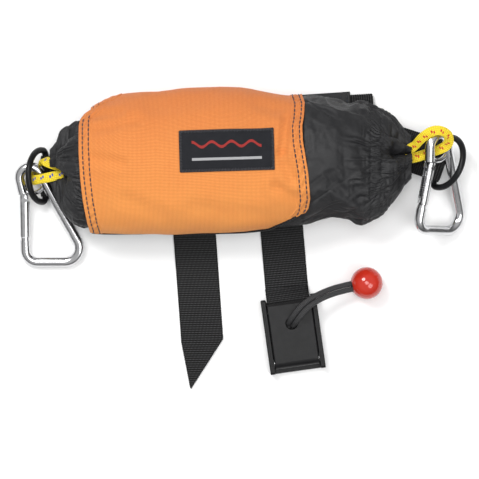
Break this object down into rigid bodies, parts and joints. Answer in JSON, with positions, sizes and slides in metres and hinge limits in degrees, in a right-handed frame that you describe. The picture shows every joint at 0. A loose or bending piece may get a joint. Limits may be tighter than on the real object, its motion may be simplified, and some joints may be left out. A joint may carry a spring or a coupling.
{
  "type": "throw rope bag",
  "caption": "Waist-worn rescue line bag with cinched mouths, webbing belt, quick-release cam buckle with pull ball, and a clip at each end.",
  "frame": {"origin": "on the table plane under the bag, on its middle line in X, where its belt and buckle rest", "axes": "+X along the bag to the wearer's left end, +Y towards the bag's top edge, +Z out of its front"},
  "size_m": [0.3998, 0.2685, 0.0771],
  "materials": {
    "packcloth": "coated nylon packcloth with a slight sheen",
    "cordura": "plain-weave cordura",
    "label": "woven label with a merrowed border",
    "floating_line": "hollow-braided floating line with tracers",
    "elastic": "covered elastic cord",
    "webbing": "ribbed webbing",
    "buckle_plastic": "satin moulded acetal",
    "ring_plastic": "satin moulded acetal",
    "release_cord": "braided cord",
    "ball_plastic": "polished",
    "steel": "polished stainless steel",
    "spring_steel": "drawn wire"
  },
  "bodies": {
    "throw_bag": {"line_bag": "packcloth", "front_panel": "cordura", "label_patch": "label", "tow_line_hank": "floating_line", "left_mouth_elastic": "elastic", "right_mouth_elastic": "elastic", "belt_sleeve": "cordura", "waist_belt": "webbing", "left_ring_tab": "webbing", "right_ring_tab": "webbing", "buckle_frame": "buckle_plastic", "buckle_pin": "steel", "left_line_loop": "floating_line", "right_line_loop": "floating_line"},
    "cam_lever": {"cam_lever": "buckle_plastic"},
    "release_pull": {"release_ball": "ball_plastic", "release_knot": "release_cord", "release_cord_near": "release_cord", "release_cord_far": "release_cord"},
    "left_carabiner": {"left_carabiner_body": "steel", "left_gate_pin": "steel"},
    "left_gate_arm": {"left_gate": "steel", "left_gate_pusher": "steel", "left_gate_spring": "spring_steel"},
    "left_ring": {"left_d_ring": "ring_plastic"},
    "right_carabiner": {"right_carabiner_body": "steel", "right_gate_pin": "steel"},
    "right_gate_arm": {"right_gate": "steel", "right_gate_pusher": "steel", "right_gate_spring": "spring_steel"},
    "right_ring": {"right_d_ring": "ring_plastic"}
  },
  "joints": [
    {"name": "lever_pivot", "type": "hinge", "parent": "throw_bag", "child": "cam_lever", "pos_m": [0.05932, -0.17742, 0.0096], "axis": [0.9903, 0.1392, 0], "range_deg": [0, 95]},
    {"name": "release_pull_swing", "type": "hinge", "parent": "cam_lever", "child": "release_pull", "pos_m": [0.05469, -0.14444, 0.013], "axis": [0, 0, 1], "range_deg": [-30, 30]},
    {"name": "left_carabiner_swing", "type": "hinge", "parent": "throw_bag", "child": "left_carabiner", "pos_m": [-0.1767, -0.0153, 0.01969], "axis": [0, -0.1994, 0.9799], "range_deg": [-8, 5]},
    {"name": "left_gate_hinge", "type": "hinge", "parent": "left_carabiner", "child": "left_gate_arm", "pos_m": [-0.1823, -0.03441, 0.0158], "axis": [0, -0.1994, 0.9799], "range_deg": [0, 28], "stiffness_Nm_per_rad": 0.03, "springref_deg": -20.05},
    {"name": "left_ring_hinge", "type": "hinge", "parent": "throw_bag", "child": "left_ring", "pos_m": [-0.1645, -0.0136, 0.0052], "axis": [0, 1, 0], "range_deg": [-2, 8]},
    {"name": "right_carabiner_swing", "type": "hinge", "parent": "throw_bag", "child": "right_carabiner", "pos_m": [0.1822, 0.0124, 0.0426], "axis": [0.6108, -0.2409, 0.7542], "range_deg": [-10, 0]},
    {"name": "right_gate_hinge", "type": "hinge", "parent": "right_carabiner", "child": "right_gate_arm", "pos_m": [0.17453, -0.00638, 0.04282], "axis": [0.6108, -0.2409, 0.7542], "range_deg": [0, 22], "stiffness_Nm_per_rad": 0.03, "springref_deg": -20.05},
    {"name": "right_ring_hinge", "type": "hinge", "parent": "throw_bag", "child": "right_ring", "pos_m": [0.1865, -0.0009, 0.0202], "axis": [0.3338, 0.9426, 0], "range_deg": [-6, 8]}
  ]
}
